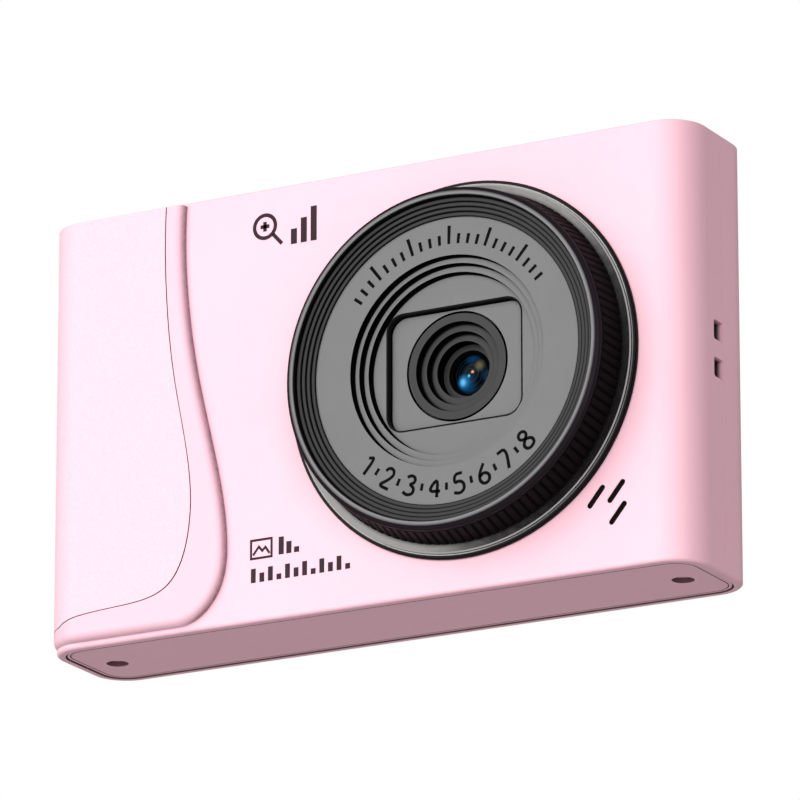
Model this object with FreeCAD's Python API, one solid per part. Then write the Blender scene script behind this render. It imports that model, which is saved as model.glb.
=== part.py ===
"""Compact digital camera: slim moulded body, fixed lens with a knurled ring, moulded hand grip.

Every piece is modelled with the body's front face in the plane y = 0 and is moved at export, so that
the origin lies at the bottom centre of the whole camera.  +X is to the right of a person who faces
the lens, +Y runs from the lens to the screen and +Z is up.  Lengths are in millimetres.
"""
import FreeCAD, Part
import os
from math import cos, pi, radians, sin

V = FreeCAD.Vector

# ---- body ----
BODY_W = 100.0            # outside width, grip skin included
BODY_H = 61.5             # height of the two covers
BODY_D = 18.8             # front face to rear face
GRIP_PROUD = 0.3          # how far the grip skin stands out on the left side
LEFT = -BODY_W / 2 + GRIP_PROUD
RIGHT = BODY_W / 2
R_FRONT = 5.2             # upright corners, front
R_REAR = 5.0              # upright corners, rear
WALL = 1.6
SPLIT = 9.9               # parting plane between the two covers
SEAM = 0.06               # gap left at the parting plane
RIM = 1.2                 # cover rim around the end plates
EDGE_R = 0.5              # rounding of the bottom edge
TOP_R = 0.25              # rounding of the top edge

# ---- end plates and their screws ----
PLATE_T = 1.2             # top plate
PLATE_GAP = 0.05
BOTTOM_T = 1.55
BOTTOM_GAP = 0.25
BOTTOM_RECESS = 0.15
SCREW_SINK = 0.7          # bottom screw heads below the plate's outer face
TOP_RECESS = 0.1
SCREW_X = 43.65
SCREW_HEAD_R = 1.5
SCREW_SHANK_R = 0.7

# ---- lens ----
LENS_X = 16.0
LENS_Z = 30.85
LENS_OUT = 6.62           # foremost point of the lens ahead of the front face
FLANGE_R = 26.4
SLEEVE_R = 22.2
OPENING_R = 22.3
RING_BORE_R = 22.27       # knurled ring, 0.07 running clearance on the sleeve
RING_Y = (-5.4, -1.3)
RING_R = (23.9, 24.6)     # tooth crests at the front and at the flange
TEETH = 120
TOOTH_DEPTH = 0.26
TOOTH_LAND = 0.6          # share of the pitch that is a smooth land between two grooves
TOOTH_TWIST = 1.3         # degrees from the front to the flange
BEZEL_UNDER = -5.45
SLEEVE_TIP = -4.6         # front end of the sleeve, where the bezel sits
FACE_R = 20.0
FACE_Y = -4.9
STEP_R = (14.7, 13.73, 12.7)
STEP_H = 0.74
WELL_W = 20.8
WELL_H = 16.8
WELL_R = 2.6
WELL_DEPTH = 0.85
LINER_T = 0.25            # black frame that lines the well
CONE_R = 7.4
CONE_GAP = 0.3            # dark joint round the funnel
CONE_STEPS = (6.27, 5.1, 4.0)
CONE_HEIGHTS = (0.88, 0.88, 1.87)
THROAT_R = 3.2            # mouth of the bevel around the glass
RIBS = 4                  # ribs of the bezel between the face plate and the trim ring
RIB_W = 0.62
RIB_H = 0.24

# ---- grip ----
GRIP_T = 1.2              # skin thickness
GRIP_TOP = 61.05
GRIP_BOTTOM = 0.8
GRIP_REAR = SPLIT - 0.8   # where the skin ends on the left side
GRIP_ROUND = 1.1
PAD_T = 0.6
PAD_GAP = 0.16
# right-hand edge of the grip, from top to bottom, as (x, z)
GRIP_EDGE = [(-27.3, GRIP_TOP), (-27.0, 48.0), (-25.1, 35.6), (-22.2, 23.2), (-20.6, 13.0),
             (-21.7, 5.2), (-24.8, 1.75), (-28.5, GRIP_BOTTOM)]
# edge of the textured pad, from the top down and then along the foot to the left side
PAD_EDGE = [(-29.85, GRIP_TOP), (-29.7, 48.0), (-28.3, 35.7), (-26.1, 24.0), (-25.9, 14.0),
            (-29.2, 6.6), (-36.0, 4.75), (-47.0, 3.2)]

# ---- inner stack, as distances behind the front face ----
REAR_WALL = BODY_D - WALL
BOARD_Y = (11.6, 12.6)
FRAME_Y = (12.6, 14.0)
LCD_Y = (14.0, 16.7)
GASKET_Y = (16.7, REAR_WALL)
SENSOR_BOARD_Y = (9.6, 10.4)

# ---- sound, lamp and power ----
SPEAKER = (32.5, 45.0, 4.0, 13.0)      # x low, x high, z low, z high
SLOT_WALL = 0.5           # wall left in front of the mesh
MESH_T = 0.3
MIC_X = 4.0
LAMP_X = -21.5
LAMP_Z = 48.0
LAMP_R = 0.9
BATTERY = (-46.0, -9.5, 9.3, 51.0)     # x low, x high, z low, z high
BATTERY_Y = (2.2, 8.0)

# ---- screen ----
WINDOW = (-17.5, 46.5, 5.5, 56.0)      # x low, x high, z low, z high
WINDOW_T = 0.9
WINDOW_SINK = 0.1
VIEW = (-14.3, 43.3, 9.2, 52.4)        # lit picture area, 57.6 by 43.2
LCD_BORDER = 2.2

# ---- keys ----
KEY_OUT = 0.6             # how far the keys stand out of the rear face
KEY_GAP = 0.15
KEY_TRAVEL = 0.3
SWITCH_TOP = 15.55        # plunger tops of the rear switches
KEY_FOOT = SWITCH_TOP + KEY_TRAVEL + 0.1
PAD_X = -33.0
PAD_Z = 28.0
PAD_R = 9.2
OK_R = 3.6
ROUND_KEYS = {"menu_button": (-39.4, 43.2), "mode_button": (-26.6, 43.2),
              "playback_button": (-39.4, 12.6), "delete_button": (-26.6, 12.6)}
ROUND_KEY_R = 2.7
ZOOM_X = -33.0
ZOOM_Z = 52.4
ZOOM_HALF = 7.5
ZOOM_HALF_H = 2.6
ZOOM_PIVOT_Y = 16.3
ZOOM_SWITCH = 6.0

# ---- top buttons ----
TOP_Y = 9.4
SHUTTER_X = -33.5
SHUTTER_R = 5.4
POWER_X = -17.0
POWER_R = 3.2
TOP_BUTTON_OUT = 0.8
TOP_TRAVEL = 0.5
TOP_BOARD_Z = (53.4, 54.2)
TOP_SWITCH_TOP = 57.0

# origin at the bottom centre of the whole camera
FRONT_Y = (LENS_OUT - BODY_D - KEY_OUT) / 2


# ---- building blocks ----
def box(x0, x1, y0, y1, z0, z1):
    return Part.makeBox(x1 - x0, y1 - y0, z1 - z0, V(x0, y0, z0))


def rod_y(x, z, r, y0, y1):
    return Part.makeCylinder(r, y1 - y0, V(x, y0, z), V(0, 1, 0))


def rod_z(x, y, r, z0, z1):
    return Part.makeCylinder(r, z1 - z0, V(x, y, z0), V(0, 0, 1))


def quarter(cx, cy, r, start):
    """Quarter arc about (cx, cy), anticlockwise from the angle start in degrees."""
    a, b, c = [radians(start + step) for step in (0, 45, 90)]
    return Part.Arc(*[V(cx + r * cos(t), cy + r * sin(t), 0) for t in (a, b, c)]).toShape()


def rounded_face(x0, x1, y0, y1, r_low, r_high):
    """Rectangle in the XY plane whose corners have one radius at low y and another at high y."""
    a, b = r_low, r_high
    edges = [
        Part.makeLine(V(x0 + a, y0, 0), V(x1 - a, y0, 0)),
        quarter(x1 - a, y0 + a, a, 270),
        Part.makeLine(V(x1, y0 + a, 0), V(x1, y1 - b, 0)),
        quarter(x1 - b, y1 - b, b, 0),
        Part.makeLine(V(x1 - b, y1, 0), V(x0 + b, y1, 0)),
        quarter(x0 + b, y1 - b, b, 90),
        Part.makeLine(V(x0, y1 - b, 0), V(x0, y0 + a, 0)),
        quarter(x0 + a, y0 + a, a, 180),
    ]
    return Part.Face(Part.Wire(edges))


def upright_block(inset, z0, z1):
    """Body outline drawn in by inset on every side, standing from z0 to z1."""
    face = rounded_face(LEFT + inset, RIGHT - inset, inset, BODY_D - inset, R_FRONT - inset, R_REAR - inset)
    face.translate(V(0, 0, z0))
    return face.extrude(V(0, 0, z1 - z0))


def slab(x0, x1, z0, z1, r, y0, y1):
    """Plate facing the front, with rounded corners, between the depths y0 and y1."""
    face = rounded_face(x0, x1, z0, z1, r, r)
    face.rotate(V(0, 0, 0), V(1, 0, 0), 90)
    face.translate(V(0, y1, 0))
    return face.extrude(V(0, y0 - y1, 0))


def turned(points):
    """Solid of revolution about the lens axis from (radius, y) points."""
    corners = [V(LENS_X + r, y, LENS_Z) for r, y in points]
    face = Part.Face(Part.makePolygon(corners + corners[:1]))
    return face.revolve(V(LENS_X, 0, LENS_Z), V(0, 1, 0), 360)


def turned_at(x, z, points):
    """Solid of revolution about an axis along Y through (x, z)."""
    shape = turned(points)
    shape.translate(V(x - LENS_X, 0, z - LENS_Z))
    return shape


def fuse(shapes):
    return shapes[0].multiFuse(shapes[1:]).removeSplitter()


def screw_y(x, z, head_y, out, length, head_r=1.4, shank_r=SCREW_SHANK_R, head_t=0.8):
    """Pan head screw along Y: the head starts at head_y on the side out (+1 rear, -1 front)."""
    head = Part.makeCylinder(head_r, head_t, V(x, head_y, z), V(0, out, 0))
    shank = Part.makeCylinder(shank_r, length, V(x, head_y, z), V(0, -out, 0))
    cross = [
        Part.makeBox(1.5, 0.9, 0.32, V(x - 0.75, head_y + out * head_t - 0.45, z - 0.16)),
        Part.makeBox(0.32, 0.9, 1.5, V(x - 0.16, head_y + out * head_t - 0.45, z - 0.75)),
    ]
    return fuse([head, shank]).cut(cross)


# ---- covers and end plates ----
def slot_openings():
    """Two strap openings in the right side, ahead of the parting plane, with a bar between them."""
    height = 2.75
    middle = 30.85
    bar = 2.5
    front = 7.2
    openings = []
    for side in (-1, 1):
        centre = middle + side * (bar + height) / 2
        hole = box(RIGHT - 4, RIGHT + 1, front, SPLIT + 1, centre - height / 2, centre + height / 2)
        rounded = []
        for edge in hole.Edges:
            bounds = edge.BoundBox
            if abs(bounds.XLength - 5) < 0.01 and bounds.YMax < front + 0.1:
                rounded.append(edge)
        openings.append(hole.makeFillet(0.4, rounded))
    return openings


def sound_slots():
    """Three slanted slots over the speaker."""
    half = 1.46
    radius = 0.41
    lean = 50.5
    cutters = []
    for x, z in [(35.88, 10.22), (38.88, 10.58), (39.1, 7.55)]:
        bar = slab(x - half - radius, x + half + radius, z - radius, z + radius, radius - 0.001, -1, WALL + 1)
        bar.rotate(V(x, 0, z), V(0, 1, 0), -lean)
        cutters.append(bar)
    return cutters


def shell():
    """Outer skin with open ends, before it is parted: rims at top and bottom take the end plates."""
    block = upright_block(0, 0, BODY_H)
    low = [e for e in block.Edges if e.BoundBox.ZMax < 0.01]
    block = block.makeFillet(EDGE_R, low)
    high = [e for e in block.Edges if e.BoundBox.ZMin > BODY_H - 0.01]
    block = block.makeFillet(TOP_R, high)
    hollow = upright_block(WALL, -1, BODY_H + 1)
    foot = upright_block(RIM, -1, BOTTOM_RECESS + BOTTOM_T)
    head = upright_block(RIM, BODY_H - TOP_RECESS - PLATE_T, BODY_H + 1)
    return block.cut([hollow, foot, head])


def wall_slab(y0, y1):
    """Front or rear wall: the body's inner outline between two depths, between the end plates."""
    inner = upright_block(0.8, BOTTOM_RECESS + BOTTOM_T, BODY_H - TOP_RECESS - PLATE_T)
    return inner.common(box(LEFT, RIGHT, y0, y1, 0, BODY_H))


def mesh_pocket(clear):
    """Recess behind the sound slots that thins the wall and takes the mesh."""
    x0, x1, z0, z1 = SPEAKER
    return slab(x0 + 1 - clear, x1 - 1 + clear, z0 + 1 - clear, z1 - 1 + clear, 1.0, SLOT_WALL, WALL)


def speaker_rim():
    """Low fence inside the front cover around the speaker."""
    x0, x1, z0, z1 = SPEAKER
    outer = slab(x0 - 0.7, x1 + 0.7, z0 - 0.7, z1 + 0.7, 1.3, WALL - 0.2, 4.0)
    inner = slab(x0 - 0.1, x1 + 0.1, z0 - 0.1, z1 + 0.1, 0.7, WALL - 1, 5.0)
    return outer.cut(inner)


def front_cover(skin):
    half = skin.common(box(LEFT - 1, RIGHT + 1, -1, SPLIT, -1, BODY_H + 1))
    half = fuse([half, wall_slab(0, WALL), speaker_rim()])
    cutters = [rod_y(LENS_X, LENS_Z, OPENING_R, -1, WALL + 1), grip_skin(), mesh_pocket(0.05)]
    return half.cut(cutters + slot_openings() + sound_slots())


def port_openings():
    """Openings in the left side: USB socket and memory card."""
    usb = Part.makeBox(4, 3.7, 9.6, V(LEFT - 1, 12.35, 39.2))
    usb = usb.makeFillet(1.6, [e for e in usb.Edges if abs(e.BoundBox.XLength - 4) < 0.01])
    card = box(LEFT - 1, LEFT + 3, 10.3, 11.5, 19.6, 32.0)
    return [usb, card]


def zoom_lugs():
    """Two ears inside the rear cover that carry the zoom rocker's stub shafts."""
    ears = []
    for side in (-1, 1):
        z = ZOOM_Z + side * 4.0
        ear = box(ZOOM_X - 1.5, ZOOM_X + 1.5, ZOOM_PIVOT_Y - 1.3, REAR_WALL + 0.2, z - 0.5, z + 0.5)
        bore = rod_z(ZOOM_X, ZOOM_PIVOT_Y, 0.66, z - 2, z + 2)
        ears.append(ear.cut(bore))
    return ears


def rear_cover(skin):
    half = skin.common(box(LEFT - 1, RIGHT + 1, SPLIT + SEAM, BODY_D + 1, -1, BODY_H + 1))
    half = fuse([half, wall_slab(REAR_WALL, BODY_D)])
    x0, x1, z0, z1 = WINDOW
    g = 0.05
    cutters = [slab(x0 - g, x1 + g, z0 - g, z1 + g, 2.0 + g, BODY_D - WINDOW_T - WINDOW_SINK, BODY_D + 1)]
    vx0, vx1, vz0, vz1 = VIEW
    cutters.append(slab(vx0 - 0.6, vx1 + 0.6, vz0 - 0.6, vz1 + 0.6, 0.8, REAR_WALL - 1, BODY_D))
    for x, z in ROUND_KEYS.values():
        cutters.append(rod_y(x, z, ROUND_KEY_R + KEY_GAP, REAR_WALL - 1, BODY_D + 1))
    cutters.append(rod_y(PAD_X, PAD_Z, PAD_R + KEY_GAP, REAR_WALL - 1, BODY_D + 1))
    w = ZOOM_HALF + 0.22
    h = ZOOM_HALF_H + 0.2
    cutters.append(slab(ZOOM_X - w, ZOOM_X + w, ZOOM_Z - h, ZOOM_Z + h, h - 0.01, REAR_WALL - 1, BODY_D + 1))
    cutters.append(rod_y(LAMP_X, LAMP_Z, LAMP_R + 0.03, REAR_WALL - 1, BODY_D + 1))
    half = half.cut(cutters + port_openings())
    return fuse([half] + zoom_lugs())


def bottom_plate():
    """Closing plate with a fine line near its edge and two deep screw recesses."""
    z0 = BOTTOM_RECESS
    plate = upright_block(RIM + BOTTOM_GAP, z0, z0 + BOTTOM_T)
    line = upright_block(RIM + 0.62, z0 - 1, z0 + 0.25).cut(upright_block(RIM + 0.8, z0 - 2, z0 + 1))
    holes = []
    for side in (-1, 1):
        x = side * SCREW_X
        holes.append(rod_z(x, SPLIT, SCREW_HEAD_R + 0.05, z0 - 1, z0 + SCREW_SINK + 0.5))
        holes.append(rod_z(x, SPLIT, SCREW_SHANK_R + 0.1, z0 - 1, z0 + 2))
    return plate.cut([line] + holes)


def bottom_screw(x):
    head_low = BOTTOM_RECESS + SCREW_SINK
    head = rod_z(x, SPLIT, SCREW_HEAD_R, head_low, head_low + 0.5)
    shank = rod_z(x, SPLIT, SCREW_SHANK_R, head_low + 0.5, 7.0)
    cross = [
        box(x - 0.8, x + 0.8, SPLIT - 0.16, SPLIT + 0.16, 0, head_low + 0.35),
        box(x - 0.16, x + 0.16, SPLIT - 0.8, SPLIT + 0.8, 0, head_low + 0.35),
    ]
    return fuse([head, shank]).cut(cross)


def top_plate():
    z1 = BODY_H - TOP_RECESS
    plate = upright_block(RIM + PLATE_GAP, z1 - PLATE_T, z1)
    holes = [
        rod_z(SHUTTER_X, TOP_Y, SHUTTER_R + KEY_GAP, 50, 70),
        rod_z(POWER_X, TOP_Y, POWER_R + KEY_GAP, 50, 70),
        rod_z(MIC_X, TOP_Y, 0.5, 50, 70),
    ]
    return plate.cut(holes)


# ---- grip ----
def edge_prism(points, foot):
    """Everything left of an edge line and above its foot, as a prism along Y, up to the grip's top."""
    curve = Part.BSplineCurve()
    curve.interpolate([V(x, 0, z) for x, z in points])
    last_x, last_z = points[-1]
    far = LEFT - 5
    sides = [
        curve.toShape(),
        Part.makeLine(V(last_x, 0, last_z), V(far, 0, foot)),
        Part.makeLine(V(far, 0, foot), V(far, 0, GRIP_TOP)),
        Part.makeLine(V(far, 0, GRIP_TOP), V(points[0][0], 0, GRIP_TOP)),
    ]
    face = Part.Face(Part.Wire(sides))
    face.translate(V(0, -5, 0))
    return face.extrude(V(0, 25, 0))


def grip_layer(outer, inner):
    """Skin that follows the front and the left side of the body between two distances from its seat."""
    seat = LEFT + GRIP_T - GRIP_PROUD

    def block(t, z0, z1):
        face = rounded_face(seat - t, 0, -t, GRIP_REAR, R_FRONT + t, 0.5)
        face.translate(V(0, 0, z0))
        return face.extrude(V(0, 0, z1 - z0))

    return block(outer, 0, BODY_H).cut(block(inner, -1, BODY_H + 1))


def grip_skin():
    layer = grip_layer(GRIP_T, 0.0)
    return layer.common(edge_prism(GRIP_EDGE, GRIP_BOTTOM))


def rounded_grip_skin():
    """Grip skin with its outer edge rounded along the right side, the foot and the rear end."""
    skin = grip_skin()
    inside = grip_layer(GRIP_T - 0.02, 0.0)
    border = []
    for edge in skin.Edges:
        ends = [v.Point for v in edge.Vertexes]
        middle = edge.valueAt((edge.FirstParameter + edge.LastParameter) / 2)
        outer = not any(inside.isInside(p, 0.001, True) for p in ends + [middle])
        upright = abs(ends[0].z - ends[-1].z) > 40 and edge.BoundBox.XMax < -35
        if outer and not upright and edge.BoundBox.ZMin < GRIP_TOP - 0.01:
            border.append(edge)
    return skin.makeFillet(GRIP_ROUND, border)


def pad_region(gap):
    points = [(x - gap, z if z == GRIP_TOP else z + gap * 0.7) for x, z in PAD_EDGE]
    return edge_prism(points, PAD_EDGE[-1][1] - 0.4 + gap)


def grip_frame():
    pocket = grip_layer(GRIP_T + 1, GRIP_T - PAD_T).common(pad_region(0.0))
    ahead = box(LEFT - 5, 0, -5, GRIP_REAR - 0.8, 0, BODY_H)
    return rounded_grip_skin().cut(pocket.common(ahead))


def grip_pad():
    layer = grip_layer(GRIP_T, GRIP_T - PAD_T).common(pad_region(PAD_GAP))
    return layer.common(box(LEFT - 5, 0, -5, GRIP_REAR - 0.8 - PAD_GAP, 0, BODY_H))


# ---- lens ----
def lens_base_ring():
    """Flange on the front face, with the sleeve that the knurled ring turns on and a ledge inside."""
    body = turned([
        (18.6, WALL), (SLEEVE_R, WALL), (SLEEVE_R, 0.0), (FLANGE_R, 0.0), (FLANGE_R, -0.42),
        (26.2, -0.66), (25.95, -0.7), (25.9, -0.6), (25.78, -0.6), (25.72, -0.84), (25.5, -0.88),
        (24.4, -1.18), (24.3, -1.2), (SLEEVE_R, -1.2),
        (SLEEVE_R, SLEEVE_TIP), (20.8, SLEEVE_TIP), (20.8, -0.7), (18.6, -0.7),
    ])
    holes = [rod_y(x, z, SCREW_SHANK_R, -0.4, WALL + 1) for x, z in carrier_screw_places()]
    return body.cut(holes)


def lens_knurled_ring():
    """Ring with leaning grooves: two notched outlines joined by ruled flanks, then bored."""
    outlines = []
    for level, crest, turn in ((0, RING_R[0], 0.0), (1, RING_R[1], TOOTH_TWIST)):
        points = []
        for tooth in range(TEETH):
            for share, depth in ((0, 0), (TOOTH_LAND, 0), ((1 + TOOTH_LAND) / 2, TOOTH_DEPTH)):
                angle = radians(turn + (tooth + share) * 360.0 / TEETH)
                r = crest - depth
                points.append(V(LENS_X + r * cos(angle), RING_Y[level], LENS_Z - r * sin(angle)))
        outlines.append(points)
    front, rear = outlines
    faces = [Part.Face(Part.makePolygon(points + points[:1])) for points in outlines]
    for i in range(len(front)):
        lead = Part.makeLine(front[i - 1], front[i])
        trail = Part.makeLine(rear[i - 1], rear[i])
        faces.append(Part.makeRuledSurface(lead, trail))
    skin = Part.makeShell(faces)
    skin.sewShape()
    ring = Part.makeSolid(skin)
    return ring.cut(rod_y(LENS_X, LENS_Z, RING_BORE_R, -10, 5))


def lens_front_ring():
    """Dark bezel with fine ribs that step down to the face plate."""
    foot = FACE_R + 0.03
    ribs = []
    for i in range(RIBS, 0, -1):
        y = FACE_Y - i * RIB_H
        ribs += [(foot + i * RIB_W, y), (foot + (i - 1) * RIB_W, y)]
    return turned([
        (foot, -2.2), (20.75, -2.2), (20.75, SLEEVE_TIP), (SLEEVE_R, SLEEVE_TIP), (SLEEVE_R, BEZEL_UNDER),
        (23.8, BEZEL_UNDER), (23.85, -5.5), (23.85, -6.02), (23.82, -6.15), (23.72, -6.24), (23.28, -6.46),
        (23.28, -6.3), (22.72, -6.3), (22.72, -6.46), (22.64, -6.48),
    ] + ribs)


def lens_trim_ring():
    """Bright ring let into the bezel's edge."""
    return turned([(22.72, -6.3), (23.28, -6.3), (23.28, -6.56), (23.22, -LENS_OUT), (22.78, -LENS_OUT),
                   (22.72, -6.56)])


def well_mouth():
    """Depth of the innermost round step, where the well begins."""
    return FACE_Y + len(STEP_R) * STEP_H


def well_floor():
    return well_mouth() + WELL_DEPTH


def well_prism(inset, y0, y1):
    w, h = WELL_W / 2 - inset, WELL_H / 2 - inset
    return slab(LENS_X - w, LENS_X + w, LENS_Z - h, LENS_Z + h, WELL_R - inset, y0, y1)


def lens_face_plate():
    """Grey disc with three round steps and a rounded rectangular well around the lens."""
    front = [(FACE_R, FACE_Y)]
    for i, r in enumerate(STEP_R):
        front += [(r, FACE_Y + i * STEP_H), (r, FACE_Y + (i + 1) * STEP_H)]
    back = well_floor() + 1.0
    front += [(0.0, well_mouth()), (0.0, back), (12.6, back), (15.6, FACE_Y + 1.2), (18.8, FACE_Y + 1.2)]
    disc = turned(front + [(18.8, -0.7), (FACE_R, -0.7)])
    hole = rod_y(LENS_X, LENS_Z, CONE_R + CONE_GAP, -10, 5)
    return disc.cut([well_prism(0.0, -10, well_floor()), hole])


def well_liner():
    """Thin black frame that lines the wall of the well."""
    return well_prism(0.0, well_mouth(), well_floor()).cut(well_prism(LINER_T, -10, 5))


def lens_cone():
    """Stepped funnel that shades the lens."""
    y = well_floor()
    points = [(CONE_R, y)]
    for r, height in zip(CONE_STEPS, CONE_HEIGHTS):
        points += [(r, y), (r, y + height)]
        y += height
    lip = THROAT_R - 0.45
    points += [(THROAT_R, y), (lip, y + 0.5), (lip, 2.45), (3.3, 2.45), (3.3, 3.2), (6.2, 3.2)]
    back = well_floor() + 1.0
    return turned(points + [(6.2, 1.2), (CONE_R + 1.1, 1.2), (CONE_R + 1.1, back), (CONE_R, back)])


def dome(radius, y_edge, rise, y_back, back_rise=0.0):
    """Lens element: spherical front cap over a cylinder, optionally with a domed rear."""
    sphere_r = (radius * radius + rise * rise) / (2 * rise)
    blank = rod_y(LENS_X, LENS_Z, radius, y_edge - rise - 0.5, y_back + back_rise)
    front = Part.makeSphere(sphere_r, V(LENS_X, y_edge - rise + sphere_r, LENS_Z))
    return blank.common(front)


def lens_barrel():
    """Threaded metal tube that holds the glass and screws into the holder."""
    rings = [(5.0, 3.2)]
    pitch = 0.35
    y = 4.6
    while y < 8.0:
        rings += [(5.0, y), (4.85, y + pitch / 2)]
        y += pitch
    bore = [(2.6, 3.2), (5.0, 3.2)]
    return turned(bore + rings[1:] + [(5.0, 8.2), (3.35, 8.2), (3.35, 6.6), (2.6, 6.6)])


def lens_holder():
    """Square block on the sensor board with the barrel's seat and the filter's seat."""
    w = 7.0
    block = slab(LENS_X - w, LENS_X + w, LENS_Z - w, LENS_Z + w, 0.8, 5.2, SENSOR_BOARD_Y[0])
    bore = rod_y(LENS_X, LENS_Z, 5.0, 4, 8.2)
    window = box(LENS_X - 3.6, LENS_X + 3.6, 8.0, 8.75, LENS_Z - 3.0, LENS_Z + 3.0)
    cavity = box(LENS_X - 4.4, LENS_X + 4.4, 8.7, 10, LENS_Z - 4.0, LENS_Z + 4.0)
    return block.cut([bore, window, cavity])


def carrier_screw_places():
    return [(LENS_X + 20.2 * cos(radians(a)), LENS_Z + 20.2 * sin(radians(a))) for a in (90, 210, 330)]


def post_places():
    return [(LENS_X + side * 13.0, LENS_Z) for side in (-1, 1)]


def lens_carrier():
    """Ring behind the front cover that clamps the lens base and carries the sensor board on posts."""
    ring = turned([(17.2, WALL), (23.6, WALL), (23.6, 2.8), (17.2, 2.8)])
    arms = [box(x - 5.5, x + 5.5, WALL, 2.8, z - 2.0, z + 2.0) for x, z in post_places()]
    outer = rod_y(LENS_X, LENS_Z, 18.0, WALL, 2.8)
    arms = [arm.common(outer) for arm in arms]
    posts = [rod_y(x, z, 1.7, WALL, SENSOR_BOARD_Y[0]) for x, z in post_places()]
    holes = [rod_y(x, z, SCREW_SHANK_R + 0.08, 0, 4) for x, z in carrier_screw_places()]
    bores = [rod_y(x, z, SCREW_SHANK_R, 6.6, 12) for x, z in post_places()]
    return fuse([ring] + arms + posts).cut(holes + bores)


def sensor_board():
    board = slab(LENS_X - 15.5, LENS_X + 15.5, LENS_Z - 9.5, LENS_Z + 9.5, 1.0, *SENSOR_BOARD_Y)
    return board.cut([rod_y(x, z, SCREW_SHANK_R + 0.08, 9, 12) for x, z in post_places()])


def image_sensor():
    y1 = SENSOR_BOARD_Y[0]
    return box(LENS_X - 3.6, LENS_X + 3.6, y1 - 0.7, y1, LENS_Z - 3.1, LENS_Z + 3.1)


def ir_filter():
    return box(LENS_X - 3.5, LENS_X + 3.5, 8.25, 8.6, LENS_Z - 2.9, LENS_Z + 2.9)


def sensor_flex():
    """Short ribbon from the sensor board down to its plug on the main board."""
    z = LENS_Z - 9.5
    strip = box(LENS_X - 4, LENS_X + 4, SENSOR_BOARD_Y[1], SENSOR_BOARD_Y[1] + 0.2, z - 6.0, z + 4.0)
    plug = box(LENS_X - 4.6, LENS_X + 4.6, SENSOR_BOARD_Y[1] + 0.2, BOARD_Y[0], z - 6.0, z - 3.0)
    return fuse([strip, plug])


# ---- inner structure ----
def frame_boss_places():
    return [(-14.5, 9.0), (44.5, 14.0), (44.5, 53.5), (-14.5, 50.0)]


def mid_frame():
    """Moulded chassis: tray behind the screen and a foot rail with the bosses for the bottom screws."""
    tray = slab(-16.5, 47.2, 5.0, 57.0, 1.5, *FRAME_Y)
    rail = box(-46.5, 46.5, 8.6, 11.4, 1.75, 3.2)
    web = box(20.0, 46.0, 11.2, 14.0, 1.75, 5.6)
    bosses = [rod_z(side * SCREW_X, SPLIT, 2.2, 1.75, 8.0) for side in (-1, 1)]
    bores = [rod_z(side * SCREW_X, SPLIT, SCREW_SHANK_R, 0, 7.0) for side in (-1, 1)]
    bores += [rod_y(x, z, SCREW_SHANK_R, 12.0, 13.6) for x, z in frame_boss_places()]
    openings = [slab(-6.0, 10.0, 14.0, 46.0, 2.0, 12.0, 15.0), slab(20.0, 36.0, 14.0, 46.0, 2.0, 12.0, 15.0)]
    return fuse([tray, rail, web] + bosses).cut(bores + openings)


def main_board():
    board = slab(-47.0, 47.2, 8.6, 57.5, 1.5, *BOARD_Y)
    holes = [rod_y(x, z, SCREW_SHANK_R + 0.08, 11, 13) for x, z in frame_boss_places()]
    return board.cut(holes)


def main_chips():
    """Processor, memory, power chip and connector on the front of the main board."""
    y = BOARD_Y[0]
    processor = box(-5.0, 7.0, y - 1.1, y, 41.4, 51.4)
    memory = box(20.0, 29.0, y - 0.9, y, 43.0, 52.5)
    power = box(38.0, 43.0, y - 0.8, y, 22.0, 27.0)
    coil = slab(38.0, 42.5, 30.0, 34.5, 1.0, y - 1.9, y)
    return [processor, memory, power, coil]


def battery():
    """Flat lithium cell behind the grip."""
    x0, x1, z0, z1 = BATTERY
    return slab(x0, x1, z0, z1, 2.0, *BATTERY_Y)


def battery_bracket():
    """Thin tray between the cell and the main board."""
    x0, x1, z0, z1 = BATTERY
    back = BATTERY_Y[1] + 0.55
    plate = box(x0 - 0.8, x1 + 0.8, BATTERY_Y[1] + 0.05, back, z0 - 0.8, z1 + 0.8)
    lips = [box(x0 - 0.8, x1 + 0.8, 2.6, back, z, z + 0.7) for z in (z0 - 0.8, z1 + 0.1)]
    return fuse([plate] + lips)


def battery_leads():
    """Two insulated wires from the cell to the main board."""
    wires = []
    r = 0.45
    edge = BATTERY[1]
    for x, z in ((-7.9, 46.0), (-6.6, 48.0)):
        out = Part.makeCylinder(r, x - edge, V(edge, 6.0, z), V(1, 0, 0))
        back = rod_y(x, z, r, 6.0, BOARD_Y[0])
        wires.append(fuse([out, back, Part.makeSphere(r, V(x, 6.0, z))]))
    return wires


def speaker():
    x0, x1, z0, z1 = SPEAKER
    body = slab(x0, x1, z0, z1, 0.7, WALL + 0.25, 5.2)
    dish = slab(x0 + 1.1, x1 - 1.1, z0 + 1.1, z1 - 1.1, 2.5, WALL, WALL + 0.6)
    return body.cut(dish)


def sound_mesh():
    """Felt mesh glued behind the sound slots."""
    return mesh_pocket(0.0).common(box(0, RIGHT, SLOT_WALL, SLOT_WALL + MESH_T, 0, BODY_H))


def speaker_leads():
    return [rod_y(x, 10.5, 0.35, 5.2, BOARD_Y[0]) for x in (37.5, 39.0)]


def microphone():
    return fuse([rod_z(MIC_X, TOP_Y, 1.9, 57.9, 59.6), rod_z(MIC_X, TOP_Y, 1.0, 56.9, 57.9)])


def top_board():
    """Top board: carries the two top switches and the microphone's socket."""
    low, high = TOP_BOARD_Z
    return box(-45.0, 8.0, 5.2, 11.2, low, high)


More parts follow.
